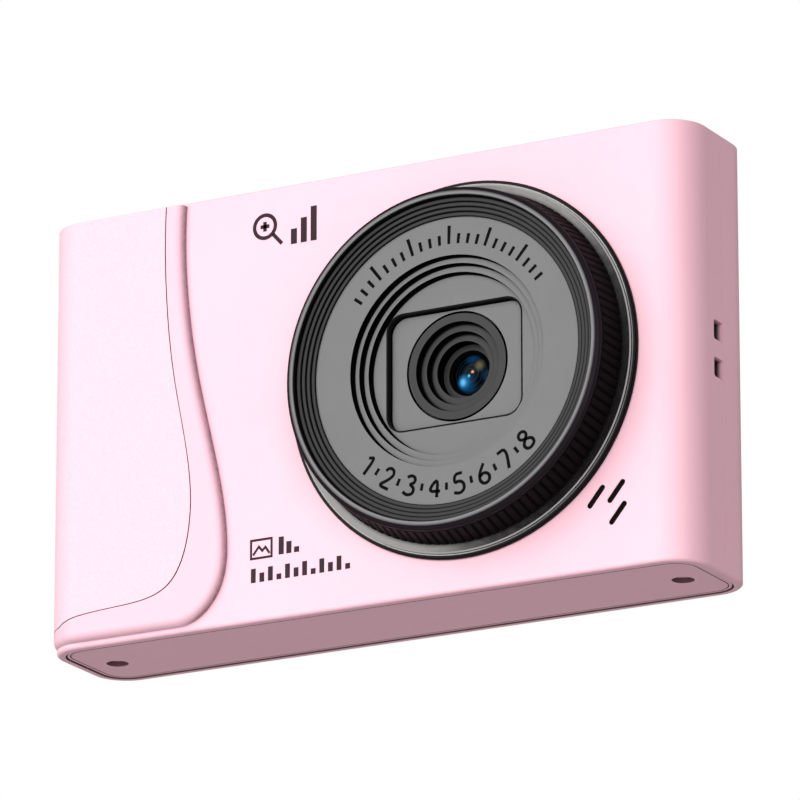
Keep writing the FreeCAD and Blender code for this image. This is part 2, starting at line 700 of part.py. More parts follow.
def tact_switch(x, y_or_z, upright):
    """Small push switch: square base and round plunger, facing the rear or upwards."""
    if upright:
        base = box(x - 2.2, x + 2.2, TOP_Y - 2.2, TOP_Y + 1.7, TOP_BOARD_Z[1], TOP_SWITCH_TOP - 0.8)
        return fuse([base, rod_z(x, TOP_Y, 1.1, TOP_BOARD_Z[1], TOP_SWITCH_TOP)])
    z = y_or_z
    base = box(x - 1.75, x + 1.75, BOARD_Y[1], SWITCH_TOP - 0.6, z - 1.75, z + 1.75)
    return fuse([base, rod_y(x, z, 0.85, BOARD_Y[1], SWITCH_TOP)])


def pad_switch_places():
    reach = 6.9
    return [(PAD_X + reach * cos(radians(a)), PAD_Z + reach * sin(radians(a))) for a in (0, 90, 180, 270)]


def rear_switches():
    places = list(ROUND_KEYS.values()) + pad_switch_places() + [(PAD_X, PAD_Z)]
    places += [(ZOOM_X + side * ZOOM_SWITCH, ZOOM_Z) for side in (-1, 1)]
    return [tact_switch(x, z, False) for x, z in places]


def usb_port():
    """Metal USB socket on the rear of the main board, mouth at the left side."""
    outer = Part.makeBox(7.4, 3.2, 9.0, V(LEFT + 0.4, 12.6, 39.5))
    long_edges = [e for e in outer.Edges if abs(e.BoundBox.XLength - 7.4) < 0.01]
    outer = outer.makeFillet(1.45, long_edges)
    inner = Part.makeBox(6.2, 2.5, 8.3, V(LEFT + 0.2, 12.95, 39.85))
    long_edges = [e for e in inner.Edges if abs(e.BoundBox.XLength - 6.2) < 0.01]
    inner = inner.makeFillet(1.15, long_edges)
    tongue = box(LEFT + 1.2, LEFT + 7.0, 13.9, 14.5, 40.8, 47.2)
    return fuse([outer.cut(inner), tongue])


def card_socket():
    """Memory card socket on the front of the main board, mouth at the left side."""
    outer = box(LEFT + WALL + 0.1, LEFT + 16.0, 10.1, BOARD_Y[0], 19.0, 32.6)
    inner = box(LEFT, LEFT + 15.0, 10.35, 11.35, 19.8, 31.8)
    return outer.cut(inner)


def lcd_module():
    vx0, vx1, vz0, vz1 = VIEW
    b = LCD_BORDER
    return slab(vx0 - b, vx1 + b, vz0 - b - 1.5, vz1 + b, 0.8, *LCD_Y)


def lcd_gasket():
    vx0, vx1, vz0, vz1 = VIEW
    outer = slab(vx0 - 1.8, vx1 + 1.8, vz0 - 1.8, vz1 + 1.8, 1.0, *GASKET_Y)
    return outer.cut(slab(vx0 - 0.4, vx1 + 0.4, vz0 - 0.4, vz1 + 0.4, 0.6, 10, 20))


def lcd_flex():
    """Ribbon from the foot of the screen, forward under the chassis and up to its plug on the main board."""
    x0, x1 = -4.0, 8.0
    foot = VIEW[2] - LCD_BORDER - 1.5
    y_screen, y_board = 15.2, 10.9
    low = foot - 1.1
    down = box(x0, x1, y_screen - 0.2, y_screen, low, foot)
    under = box(x0, x1, y_board, y_screen, low, low + 0.2)
    up = box(x0, x1, y_board, y_board + 0.2, low, 10.5)
    plug = box(x0 - 0.6, x1 + 0.6, y_board - 0.3, BOARD_Y[0], 10.5, 13.0)
    return fuse([down, under, up, plug])


def lcd_window():
    x0, x1, z0, z1 = WINDOW
    y1 = BODY_D - WINDOW_SINK
    return slab(x0, x1, z0, z1, 2.0, y1 - WINDOW_T, y1)


def status_lamp():
    """Clear pin that brings the board lamp's light to the rear face."""
    return fuse([rod_y(LAMP_X, LAMP_Z, LAMP_R, 15.0, BODY_D), rod_y(LAMP_X, LAMP_Z, 1.5, 15.6, REAR_WALL)])


def lamp_chip():
    return box(LAMP_X - 0.8, LAMP_X + 0.8, BOARD_Y[1], BOARD_Y[1] + 0.9, LAMP_Z - 0.5, LAMP_Z + 0.5)


# ---- keys and buttons ----
def round_key(x, z, radius, flange):
    """Rear key: domed cap, inner flange that keeps it in the cover and a foot over its switch."""
    top = BODY_D + KEY_OUT
    points = [(0, KEY_FOOT), (1.2, KEY_FOOT), (1.2, KEY_FOOT + 0.25), (flange, KEY_FOOT + 0.25)]
    if flange > radius:
        points += [(flange, REAR_WALL - 0.1), (radius, REAR_WALL - 0.1)]
    points += [(radius, top - 0.35), (radius - 0.12, top - 0.16), (radius - 0.4, top - 0.06), (0, top)]
    return turned_at(x, z, points)


def pad_key(angle):
    """One arc-shaped direction key of the round pad."""
    top = BODY_D + KEY_OUT - 0.1
    half = 43.0
    lip_half = 36.0

    def sector(r_in, r_out, y0, y1, half_angle):
        ring = rod_y(PAD_X, PAD_Z, r_out, y0, y1).cut(rod_y(PAD_X, PAD_Z, r_in, y0 - 1, y1 + 1))
        reach = 3 * r_out
        left, right = radians(angle + half_angle), radians(angle - half_angle)
        corners = [
            V(PAD_X, y0 - 1, PAD_Z),
            V(PAD_X + reach * cos(right), y0 - 1, PAD_Z + reach * sin(right)),
            V(PAD_X + reach * cos(radians(angle)) * 1.5, y0 - 1, PAD_Z + reach * sin(radians(angle)) * 1.5),
            V(PAD_X + reach * cos(left), y0 - 1, PAD_Z + reach * sin(left)),
        ]
        wedge = Part.Face(Part.makePolygon(corners + corners[:1])).extrude(V(0, y1 - y0 + 2, 0))
        return ring.common(wedge)

    cap = sector(OK_R + 0.45, PAD_R, KEY_FOOT + 0.25, top, half)
    rim = [e for e in cap.Edges if e.BoundBox.YMin > top - 0.01]
    cap = cap.makeFillet(0.3, rim)
    lip = sector(PAD_R - 1.0, PAD_R + 0.9, KEY_FOOT + 0.25, REAR_WALL - 0.1, lip_half)
    x = PAD_X + 6.9 * cos(radians(angle))
    z = PAD_Z + 6.9 * sin(radians(angle))
    foot = rod_y(x, z, 1.2, KEY_FOOT, KEY_FOOT + 1)
    return fuse([cap, lip, foot])


def zoom_rocker():
    """Long key that rocks about two stub shafts, one end for wide and one for close."""
    y0 = KEY_FOOT - 0.1
    top = BODY_D + KEY_OUT
    w, h = ZOOM_HALF, ZOOM_HALF_H
    cap = slab(ZOOM_X - w, ZOOM_X + w, ZOOM_Z - h, ZOOM_Z + h, h - 0.01, y0, top)
    rim = [e for e in cap.Edges if e.BoundBox.YMin > top - 0.01]
    cap = cap.makeFillet(0.4, rim)
    skirt = slab(ZOOM_X - w - 0.7, ZOOM_X + w + 0.7, ZOOM_Z - h - 0.4, ZOOM_Z + h + 0.4, 2.0, y0, y0 + 0.8)
    shaft = rod_z(ZOOM_X, ZOOM_PIVOT_Y, 0.6, ZOOM_Z - 4.4, ZOOM_Z + 4.4)
    dip = Part.makeCylinder(16, 10, V(ZOOM_X, top + 15.7, ZOOM_Z - 5), V(0, 0, 1))
    return fuse([cap, skirt, shaft]).cut(dip)


def top_button(x, radius, proud):
    """Round button in the top plate with a keeper flange and a foot over its switch."""
    top = BODY_H - TOP_RECESS + proud
    under = BODY_H - TOP_RECESS - PLATE_T - 0.1
    foot = TOP_SWITCH_TOP + TOP_TRAVEL + 0.1
    cap = rod_z(x, TOP_Y, radius, under - 1.0, top)
    rim = [e for e in cap.Edges if e.BoundBox.ZMin > top - 0.01]
    cap = cap.makeFillet(min(0.45, proud), rim)
    flange = rod_z(x, TOP_Y, radius + 0.7, under - 1.0, under)
    stem = rod_z(x, TOP_Y, 1.3, foot, under - 0.5)
    return fuse([cap, flange, stem])


def export(name, shapes):
    """Writes one piece, or a group of like pieces, moved so that the origin is the camera's bottom centre."""
    solids = shapes if isinstance(shapes, list) else [shapes]
    shape = Part.makeCompound(solids) if len(solids) > 1 else solids[0].Solids[0]
    if sum(len(s.Solids) for s in solids) != len(solids) or not shape.isValid():
        raise ValueError(name + " is not a set of valid single solids")
    shape.translate(V(0, FRONT_Y, 0))
    shape.exportStep("parts/" + name + ".step")


def main():
    os.makedirs("parts", exist_ok=True)
    skin = shell()
    y0 = BOARD_Y[0]
    pieces = {
        "front_cover": front_cover(skin),
        "rear_cover": rear_cover(skin),
        "top_plate": top_plate(),
        "bottom_plate": bottom_plate(),
        "bottom_screws": [bottom_screw(side * SCREW_X) for side in (-1, 1)],
        "grip_frame": grip_frame(),
        "grip_pad": grip_pad(),
        "lens_base_ring": lens_base_ring(),
        "lens_knurled_ring": lens_knurled_ring(),
        "lens_front_ring": lens_front_ring(),
        "lens_trim_ring": lens_trim_ring(),
        "lens_face_plate": lens_face_plate(),
        "well_liner": well_liner(),
        "lens_cone": lens_cone(),
        "lens_front_glass": dome(3.25, 2.85, 1.1, 3.15),
        "lens_barrel": lens_barrel(),
        "lens_rear_glass": dome(3.3, 7.0, 0.35, 8.1),
        "lens_holder": lens_holder(),
        "lens_carrier": lens_carrier(),
        "carrier_screws": [screw_y(x, z, 2.8, 1, 3.0, head_r=1.25) for x, z in carrier_screw_places()],
        "ir_filter": ir_filter(),
        "image_sensor": image_sensor(),
        "sensor_board": sensor_board(),
        "sensor_screws": [screw_y(x, z, SENSOR_BOARD_Y[1], 1, 3.4) for x, z in post_places()],
        "sensor_flex": sensor_flex(),
        "mid_frame": mid_frame(),
        "main_board": main_board(),
        "board_screws": [screw_y(x, z, y0, -1, 1.9) for x, z in frame_boss_places()],
        "main_chips": main_chips(),
        "battery": battery(),
        "battery_bracket": battery_bracket(),
        "battery_leads": battery_leads(),
        "speaker": speaker(),
        "speaker_leads": speaker_leads(),
        "sound_mesh": sound_mesh(),
        "microphone": microphone(),
        "top_board": top_board(),
        "top_switches": [tact_switch(x, 0, True) for x in (SHUTTER_X, POWER_X)],
        "rear_switches": rear_switches(),
        "usb_port": usb_port(),
        "card_socket": card_socket(),
        "lcd_module": lcd_module(),
        "lcd_gasket": lcd_gasket(),
        "lcd_flex": lcd_flex(),
        "lcd_window": lcd_window(),
        "status_lamp": status_lamp(),
        "lamp_chip": lamp_chip(),
        "shutter_button": top_button(SHUTTER_X, SHUTTER_R, TOP_BUTTON_OUT),
        "power_button": top_button(POWER_X, POWER_R, 0.4),
        "zoom_rocker": zoom_rocker(),
        "ok_button": round_key(PAD_X, PAD_Z, OK_R, OK_R),
    }
    for name, (x, z) in ROUND_KEYS.items():
        pieces[name] = round_key(x, z, ROUND_KEY_R, ROUND_KEY_R + 0.7)
    for name, angle in (("left_key", 0), ("up_key", 90), ("right_key", 180), ("down_key", 270)):
        pieces[name] = pad_key(angle)
    for name, shape in pieces.items():
        export(name, shape)
    print(len(pieces), "nodes")


main()
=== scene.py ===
import math
import bpy
import bmesh
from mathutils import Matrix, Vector

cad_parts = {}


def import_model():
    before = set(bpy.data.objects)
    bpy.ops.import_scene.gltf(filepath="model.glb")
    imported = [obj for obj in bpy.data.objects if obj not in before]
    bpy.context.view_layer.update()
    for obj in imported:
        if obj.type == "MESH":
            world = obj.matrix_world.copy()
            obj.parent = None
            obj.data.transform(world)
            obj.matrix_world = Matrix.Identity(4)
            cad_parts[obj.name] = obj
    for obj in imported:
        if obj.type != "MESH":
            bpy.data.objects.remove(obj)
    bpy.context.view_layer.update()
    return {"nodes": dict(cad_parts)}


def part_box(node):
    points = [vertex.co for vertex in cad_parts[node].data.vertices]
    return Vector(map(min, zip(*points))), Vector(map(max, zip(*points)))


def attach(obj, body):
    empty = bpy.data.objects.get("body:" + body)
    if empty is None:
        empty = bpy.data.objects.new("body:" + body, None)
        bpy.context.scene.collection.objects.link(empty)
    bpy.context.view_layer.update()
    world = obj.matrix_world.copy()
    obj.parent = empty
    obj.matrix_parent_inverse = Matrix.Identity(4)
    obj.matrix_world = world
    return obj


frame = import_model()

MM = 0.001
nodes = frame["nodes"]

# ---- places taken from the frame ----
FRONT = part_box("front_cover")[0].y
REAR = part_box("rear_cover")[1].y
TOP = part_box("front_cover")[1].z
flange_low, flange_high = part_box("lens_base_ring")
AXIS_X = (flange_low.x + flange_high.x) / 2
AXIS_Z = (flange_low.z + flange_high.z) / 2
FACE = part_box("lens_face_plate")[0].y
SIDE_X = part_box("front_cover")[1].x
WELL_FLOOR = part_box("lens_cone")[0].y

# ---- openings in the shell and the floor, in m ----
SOUND_X = 0.0380          # middle of the sound slots
SOUND_Z = 0.0093
SOUND_HALF = (0.0042, 0.0009, 0.0040)
STRAP_Y = 0.00855 + FRONT
STRAP_Z = 0.03085
STRAP_HALF_Y = 0.0016
STRAP_HALF_Z = 0.0042     # both slots and the bar between them
STRAP_LIT = 0.0002        # depth to which the slots stay pink
STRAP_DARK = 0.0011       # depth from which they are painted dark as shade
STRAP_END = 0.008
JOINT_TOP = 0.0019        # height of the inner walls round the bottom plate, which are painted dark as shade
FLOOR_Z = -0.6            # far enough down for the low camera to stand above it
FLOOR_HALF = 3.0

# ---- lens sizes, in mm, radii from the lens axis ----
RIB_FOOT = 20.03
RIB_PITCH = 0.62
STEP_RADII = (14.7, 13.73, 12.7)
FUNNEL_RADII = (6.27, 5.1)
WELL = (10.15, 8.15, 2.35)        # half width, half height and corner radius of the square well
WELL_SHADE = (0.28, -0.24)        # how far its shade reaches in over its floor
SHADE_LEAN = math.radians(-33)      # way the unshaded middle of each step is shifted, away from the painted shade
SCALE_RADIUS = 17.5               # middle of the dial scale
LAND = (25.74, 25.78, 25.90, 25.94)        # bright land of the flange: start, full, full, end
FLANGE_GLOSS = (24.1, 25.3, 25.92, 25.98)
TRIM_WORN = (22.98, 23.16)
BEZEL_EDGE = (22.7, 22.5)
GLASS_RIM = (2.35, 2.7)

# ---- camera ----
AZIMUTH = math.radians(28.84)
ELEVATION = math.radians(-17.23)
DISTANCE = 1.0362
FOCAL = 345.8
AIM = Vector((0.00624, FRONT, 0.02805))

# ---- light ----
KEY_DISTANCE = 2.5
KEY_HALF = math.radians(28.5)     # half angle of the round soft box as the object sees it
KEY_RADIANCE = 4.1
AMBIENT = 0.45
# azimuth, elevation, distance, half angle and radiance of the soft box beside the camera
SIDE = (math.radians(31), math.radians(5), 2.2, math.radians(18), 5.4)
SCREEN = (0.4604, -0.8367, -0.2962)   # middle of the black screen, as seen from the object
SCREEN_EDGE = (0.35, 0.85)            # cosines between which the room's light falls off
SCREEN_LIGHT = 0.02

# ---- colours ----
PINK = (0.80, 0.46, 0.545)
PINK_DEEP = (0.79, 0.45, 0.535)
FRAME_PINK = (0.72, 0.44, 0.525)
BLACK = (0.002, 0.002, 0.002)

# ---- texture sizes ----
DRIFT = 45.0              # colour drift over a moulding
GLOSS = 700.0             # uneven gloss
SPARK = 4200.0            # spark grain of the mould
GRAIN_DEPTH = 0.00002     # m


def direction(azimuth, elevation):
    """Unit vector away from the object; azimuth 0 is straight in front."""
    return Vector((math.sin(azimuth) * math.cos(elevation),
                   -math.cos(azimuth) * math.cos(elevation), math.sin(elevation)))


def camera():
    """Long lens, low and to the right, as fitted to the photo."""
    data = bpy.data.cameras.new("camera")
    data.lens = FOCAL
    data.sensor_width = 36.0
    data.clip_start = 0.01
    data.clip_end = 20.0
    obj = bpy.data.objects.new("camera", data)
    bpy.context.scene.collection.objects.link(obj)
    out = direction(AZIMUTH, ELEVATION)
    obj.location = AIM + out * DISTANCE
    obj.rotation_euler = out.to_track_quat("Z", "Y").to_euler()
    bpy.context.scene.camera = obj


def area_light(name, azimuth, elevation, distance, half_angle, radiance, colour=(1, 1, 1)):
    """Round soft box that looks at the camera body from an azimuth and an elevation."""
    out = direction(azimuth, elevation)
    radius = distance * math.tan(half_angle)
    data = bpy.data.lights.new(name, "AREA")
    data.shape = "DISK"
    data.size = 2 * radius
    data.energy = radiance * math.pi * math.pi * radius * radius
    data.color = colour
    obj = bpy.data.objects.new(name, data)
    bpy.context.scene.collection.objects.link(obj)
    obj.location = Vector((0, 0, TOP / 2)) + out * distance
    obj.rotation_euler = out.to_track_quat("Z", "Y").to_euler()


def background(tree, colour):
    node = tree.nodes.new("ShaderNodeBackground")
    node.inputs["Color"].default_value = colour + (1.0,)
    node.inputs["Strength"].default_value = 1.0
    return node


def screened_strength(tree):
    """Strength of the room's light, which falls off towards the middle of the black screen."""
    where = tree.nodes.new("ShaderNodeTexCoord")
    towards = tree.nodes.new("ShaderNodeVectorMath")
    towards.operation = "DOT_PRODUCT"
    towards.inputs[1].default_value = SCREEN
    tree.links.new(where.outputs["Generated"], towards.inputs[0])
    fall = tree.nodes.new("ShaderNodeMapRange")
    fall.interpolation_type = "SMOOTHSTEP"
    tree.links.new(towards.outputs["Value"], fall.inputs["Value"])
    for key, value in (("From Min", SCREEN_EDGE[0]), ("From Max", SCREEN_EDGE[1]),
                       ("To Min", AMBIENT), ("To Max", SCREEN_LIGHT)):
        fall.inputs[key].default_value = value
    return fall.outputs[0]


def world():
    """White room: plain white where it is looked at, softer where it lights the object, with a black
    screen on the lens side of the room so that dark plastics stay dark."""
    scene = bpy.context.scene
    room = bpy.data.worlds.new("room")
    scene.world = room
    room.use_nodes = True
    tree = room.node_tree
    tree.nodes.clear()
    seen = background(tree, (1.0, 1.0, 1.0))
    light = background(tree, (1.0, 0.985, 0.99))
    tree.links.new(screened_strength(tree), light.inputs["Strength"])
    path = tree.nodes.new("ShaderNodeLightPath")
    mix = tree.nodes.new("ShaderNodeMixShader")
    out = tree.nodes.new("ShaderNodeOutputWorld")
    tree.links.new(path.outputs["Is Camera Ray"], mix.inputs[0])
    tree.links.new(light.outputs[0], mix.inputs[1])
    tree.links.new(seen.outputs[0], mix.inputs[2])
    tree.links.new(mix.outputs[0], out.inputs[0])
    scene.view_settings.view_transform = "Standard"
    scene.view_settings.look = "None"


# ---- materials ----
class Graph:
    """Small helper that builds a material's node tree."""

    def __init__(self, name):
        self.material = bpy.data.materials.new(name)
        self.material.use_nodes = True
        self.tree = self.material.node_tree
        self.tree.nodes.clear()
        self.out = self.add("ShaderNodeOutputMaterial")
        self.shader = self.add("ShaderNodeBsdfPrincipled")
        self.link(self.shader, "BSDF", self.out, "Surface")
        self.place = self.add("ShaderNodeTexCoord").outputs["Object"]

    def add(self, kind, **values):
        node = self.tree.nodes.new(kind)
        for key, value in values.items():
            setattr(node, key, value)
        return node

    def link(self, a, a_socket, b, b_socket):
        self.tree.links.new(a.outputs[a_socket], b.inputs[b_socket])

    def put(self, socket, value):
        """Sets an input to a number, a colour or another node's output."""
        if isinstance(value, bpy.types.NodeSocket):
            self.tree.links.new(value, socket)
        elif isinstance(value, tuple) and len(value) == 3:
            socket.default_value = value + (1.0,) if socket.type == "RGBA" else value
        else:
            socket.default_value = value

    def set(self, **values):
        """Sets inputs of the shader, with _ for a space in their names."""
        for key, value in values.items():
            self.put(self.shader.inputs[key.replace("_", " ")], value)

    def maths(self, operation, a, b=0.0):
        node = self.add("ShaderNodeMath", operation=operation)
        self.put(node.inputs[0], a)
        self.put(node.inputs[1], b)
        return node.outputs[0]

    def noise(self, scale, detail=2.0, rough=0.5):
        node = self.add("ShaderNodeTexNoise")
        self.put(node.inputs["Vector"], self.place)
        node.inputs["Scale"].default_value = scale
        node.inputs["Detail"].default_value = detail
        node.inputs["Roughness"].default_value = rough
        return node.outputs["Fac"]

    def cells(self, scale, where):
        """Distance from the borders of irregular cells."""
        node = self.add("ShaderNodeTexVoronoi", feature="DISTANCE_TO_EDGE")
        self.put(node.inputs["Vector"], where)
        node.inputs["Scale"].default_value = scale
        node.inputs["Randomness"].default_value = 1.0
        return node.outputs["Distance"]

    def span(self, value, low, high, to_low=0.0, to_high=1.0):
        """Smooth step from to_low at low to to_high at high."""
        node = self.add("ShaderNodeMapRange")
        node.interpolation_type = "SMOOTHSTEP"
        for socket, item in zip(node.inputs, (value, low, high, to_low, to_high)):
            self.put(socket, item)
        return node.outputs[0]

    def blend(self, factor, a, b):
        node = self.add("ShaderNodeMix", data_type="RGBA")
        self.put(node.inputs["Factor"], factor)
        self.put(node.inputs[6], a)
        self.put(node.inputs[7], b)
        return node.outputs[2]

    def band(self, value, limits):
        """Smooth 0 to 1 to 0 over four limits, given in mm."""
        start, full, fade, end = [limit * MM for limit in limits]
        return self.product(self.span(value, start, full), self.span(value, end, fade))

    def product(self, first, *others):
        for other in others:
            first = self.maths("MULTIPLY", first, other)
        return first

    def bump(self, height, strength, distance=GRAIN_DEPTH):
        node = self.add("ShaderNodeBump")
        self.put(node.inputs["Height"], height)
        node.inputs["Strength"].default_value = strength
        node.inputs["Distance"].default_value = distance
        return node.outputs["Normal"]

    def facing(self, axis):
        """How far the surface faces along an axis, from -1 to 1."""
        geometry = self.add("ShaderNodeNewGeometry")
        split = self.add("ShaderNodeSeparateXYZ")
        self.put(split.inputs[0], geometry.outputs["True Normal"])
        return split.outputs[axis]

    def axial(self):
        """How far the surface faces along the lens axis, from 0 on a wall to 1 on a flat."""
        return self.maths("ABSOLUTE", self.facing("Y"))

    def coordinate(self, axis):
        split = self.add("ShaderNodeSeparateXYZ")
        self.put(split.inputs[0], self.place)
        return split.outputs[axis]

    def within(self, *limits):
        """1 inside a box given as (axis, middle, half) entries, 0 outside."""
        inside = None
        for axis, middle, half in limits:
            away = self.maths("ABSOLUTE", self.maths("SUBTRACT", self.coordinate(axis), middle))
            near = self.maths("LESS_THAN", away, half)
            inside = near if inside is None else self.maths("MULTIPLY", inside, near)
        return inside

    def hypot(self, a, b):
        squares = self.maths("ADD", self.maths("MULTIPLY", a, a), self.maths("MULTIPLY", b, b))
        return self.maths("SQRT", squares)

    def radius(self, x=0.0, z=0.0, squeeze=1.0):
        """Distance from a line along the lens axis that passes (x, z) mm away from it."""
        dx = self.maths("SUBTRACT", self.coordinate("X"), AXIS_X + x * MM)
        dz = self.maths("SUBTRACT", self.coordinate("Z"), AXIS_Z + z * MM)
        return self.hypot(dx, self.maths("MULTIPLY", dz, squeeze))

    def patch(self, x, z, size, squeeze=1.0):
        """Soft round patch at (x, z) mm from the lens axis: 1 in its middle, 0 from size mm outwards."""
        return self.span(self.radius(x, z, squeeze), size * MM, 0.0)


def moulded(name, colour, other, rough, grain=0.05, grain_scale=SPARK, coat=0.0, spec=0.5):
    """Moulded plastic: slight colour drift, uneven gloss and the fine spark grain of the mould."""
    g = Graph(name)
    drift = g.span(g.noise(DRIFT, 3.0), 0.3, 0.7)
    gloss = g.span(g.noise(GLOSS, 4.0), 0.25, 0.75, rough - 0.04, rough + 0.05)
    g.set(Base_Color=g.blend(drift, colour, other), Roughness=gloss,
          Normal=g.bump(g.noise(grain_scale, 2.0, 0.6), grain), Coat_Weight=coat,
          Coat_Roughness=0.2, Specular_IOR_Level=spec)
    return g.material


def leather(name, colour, other):
    """Moulded leather grain: small pebbles with creases between them. The walls at the seam carry painted
    shade, those on the outside and on top do not."""
    g = Graph(name)
    warp = g.add("ShaderNodeVectorMath", operation="MULTIPLY_ADD")
    colour_noise = g.add("ShaderNodeTexNoise")
    g.put(colour_noise.inputs["Vector"], g.place)
    colour_noise.inputs["Scale"].default_value = 900.0
    g.put(warp.inputs[0], colour_noise.outputs["Color"])
    warp.inputs[1].default_value = (0.0004, 0.0004, 0.0004)
    g.put(warp.inputs[2], g.place)
    crease = g.span(g.cells(1500.0, warp.outputs[0]), 0.0, 0.22)
    fine = g.noise(5200.0, 3.0, 0.6)
    height = g.maths("ADD", crease, g.maths("MULTIPLY", fine, 0.35))
    tone = g.blend(crease, other, colour)
    # painted shade on the seam walls that face neither front, left nor up
    wall = g.product(g.span(g.facing("Y"), -0.4, -0.1), g.span(g.facing("X"), -0.6, -0.3),
                     g.span(g.facing("Z"), 0.4, 0.1))
    g.set(Base_Color=g.blend(wall, tone, (0.05, 0.025, 0.032)),
          Roughness=g.span(fine, 0.2, 0.8, 0.5, 0.62), Normal=g.bump(height, 0.28, 2 * GRAIN_DEPTH))
    return g.material


def well_shade(g):
    """1 on the part of the well's floor that lies outside its own outline, shifted by WELL_SHADE."""
    half_w, half_h, corner = WELL
    inner = g.maths("LESS_THAN", g.radius(), (STEP_RADII[1] - 0.03) * MM)
    reach = []
    for axis, middle, shift, half in (("X", AXIS_X, WELL_SHADE[0], half_w),
                                      ("Z", AXIS_Z, WELL_SHADE[1], half_h)):
        away = g.maths("ABSOLUTE", g.maths("SUBTRACT", g.coordinate(axis), middle + shift * MM))
        reach.append(g.maths("SUBTRACT", away, (half - corner) * MM))
    length = g.hypot(*[g.maths("MAXIMUM", value, 0.0) for value in reach])
    inside = g.maths("MINIMUM", g.maths("MAXIMUM", *reach), 0.0)
    outside = g.span(g.maths("ADD", length, inside), (corner - 0.03) * MM, (corner + 0.03) * MM)
    return g.product(outside, inner, g.maths("GREATER_THAN", g.coordinate("Y"), WELL_FLOOR - 0.04 * MM))


def shade_painted_steps(name, flat, feet, reach, soft, well=False):
    """Turned plastic with painted shade: its walls are painted black, and a painted crescent of shade runs
    onto the foot of each step (radii in mm), most of it on the side away from the strap slots."""
    g = Graph(name)
    # painted shade: the step walls, which turn away from the lens axis, are black
    shade = g.span(g.axial(), 0.99, 0.85)
    far = g.radius(reach * math.cos(SHADE_LEAN), reach * math.sin(SHADE_LEAN))
    for foot in feet:
        edge = (foot - 0.2 * reach) * MM
        near = g.maths("LESS_THAN", g.radius(), (foot + 0.02) * MM)
        beyond = g.maths("GREATER_THAN", g.radius(), (foot - 0.8) * MM)
        # painted shadow: an eccentric black crescent at the foot of each step
        crescent = g.product(near, beyond, g.span(far, edge - soft * MM, edge))
        shade = g.maths("MAXIMUM", shade, crescent)
    # painted shade of the square well on its floor
    if well:
        shade = g.maths("MAXIMUM", shade, well_shade(g))
    drift = g.span(g.noise(120.0, 3.0), 0.3, 0.7, 0.985, 1.015)
    tone = g.add("ShaderNodeVectorMath", operation="SCALE")
    g.put(tone.inputs[0], g.blend(shade, flat, BLACK))
    g.put(tone.inputs["Scale"], drift)
    g.set(Base_Color=tone.outputs[0], Roughness=g.span(g.noise(800.0, 3.0), 0.3, 0.7, 0.56, 0.64),
          Normal=g.bump(g.noise(4500.0, 2.0), 0.05),
          Specular_IOR_Level=g.span(shade, 0.0, 1.0, 0.12, 0.0))
    return g.material


def flange_material():
    """Black flange: gloss that fades towards the knurled ring, a bright fine land and a dull outer rim."""
    g = Graph("flange_gloss")
    land = g.band(g.radius(), LAND)
    gloss = g.band(g.radius(), FLANGE_GLOSS)
    g.set(Base_Color=g.blend(land, (0.007, 0.006, 0.007), (0.17, 0.17, 0.175)),
          Roughness=g.span(g.noise(GLOSS, 4.0), 0.25, 0.75, 0.07, 0.11),
          Specular_IOR_Level=g.span(gloss, 0.0, 1.0, 0.04, 0.98),
          Normal=g.bump(g.noise(SPARK, 2.0), 0.02))
    return g.material


def trim_material():
    """Satin silver paint with fine turning lines, worn darker towards its outer edge."""
    g = Graph("trim_silver")
    lines = g.add("ShaderNodeTexNoise", noise_dimensions="1D")
    g.put(lines.inputs["W"], g.radius())
    lines.inputs["Scale"].default_value = 9000.0
    tone = g.blend(g.span(g.noise(300.0), 0.3, 0.7), (0.145, 0.145, 0.15), (0.13, 0.13, 0.135))
    worn = g.span(g.radius(), TRIM_WORN[0] * MM, TRIM_WORN[1] * MM)
    tone = g.blend(g.maths("MULTIPLY", worn, 0.85), tone, (0.045, 0.034, 0.041))
    g.set(Base_Color=tone, Roughness=g.span(lines.outputs["Fac"], 0.2, 0.8, 0.42, 0.5),
          Normal=g.bump(lines.outputs["Fac"], 0.08), Specular_IOR_Level=0.3)
    return g.material


def bezel_material():
    """Dark grey ribs inside, parted by painted shade in black: lines at the rib edges and the rib walls;
    black outside.
    """
    g = Graph("lens_bezel")
    inside = g.span(g.radius(), BEZEL_EDGE[0] * MM, BEZEL_EDGE[1] * MM)
    # painted shade: a black line at the edge of each rib
    ribs_out = g.maths("DIVIDE", g.maths("SUBTRACT", g.radius(), RIB_FOOT * MM), RIB_PITCH * MM)
    share = g.maths("FRACT", ribs_out)
    from_edge = g.maths("ABSOLUTE", g.maths("SUBTRACT", share, 0.5))
    line = g.span(from_edge, 0.22, 0.40)
    # painted shade: the rib walls, which turn away from the lens axis, are black
    wall = g.span(g.axial(), 0.95, 0.5)
    ribs = g.blend(g.maths("MAXIMUM", line, wall), (0.038, 0.037, 0.038), (0.001, 0.001, 0.001))
    g.set(Base_Color=g.blend(inside, (0.008, 0.006, 0.008), ribs),
          Roughness=g.span(g.noise(900.0, 3.0), 0.3, 0.7, 0.36, 0.44),
          Specular_IOR_Level=g.span(inside, 0, 1, 0.06, 0.05),
          Normal=g.bump(g.noise(4500.0, 2.0), 0.05))
    return g.material


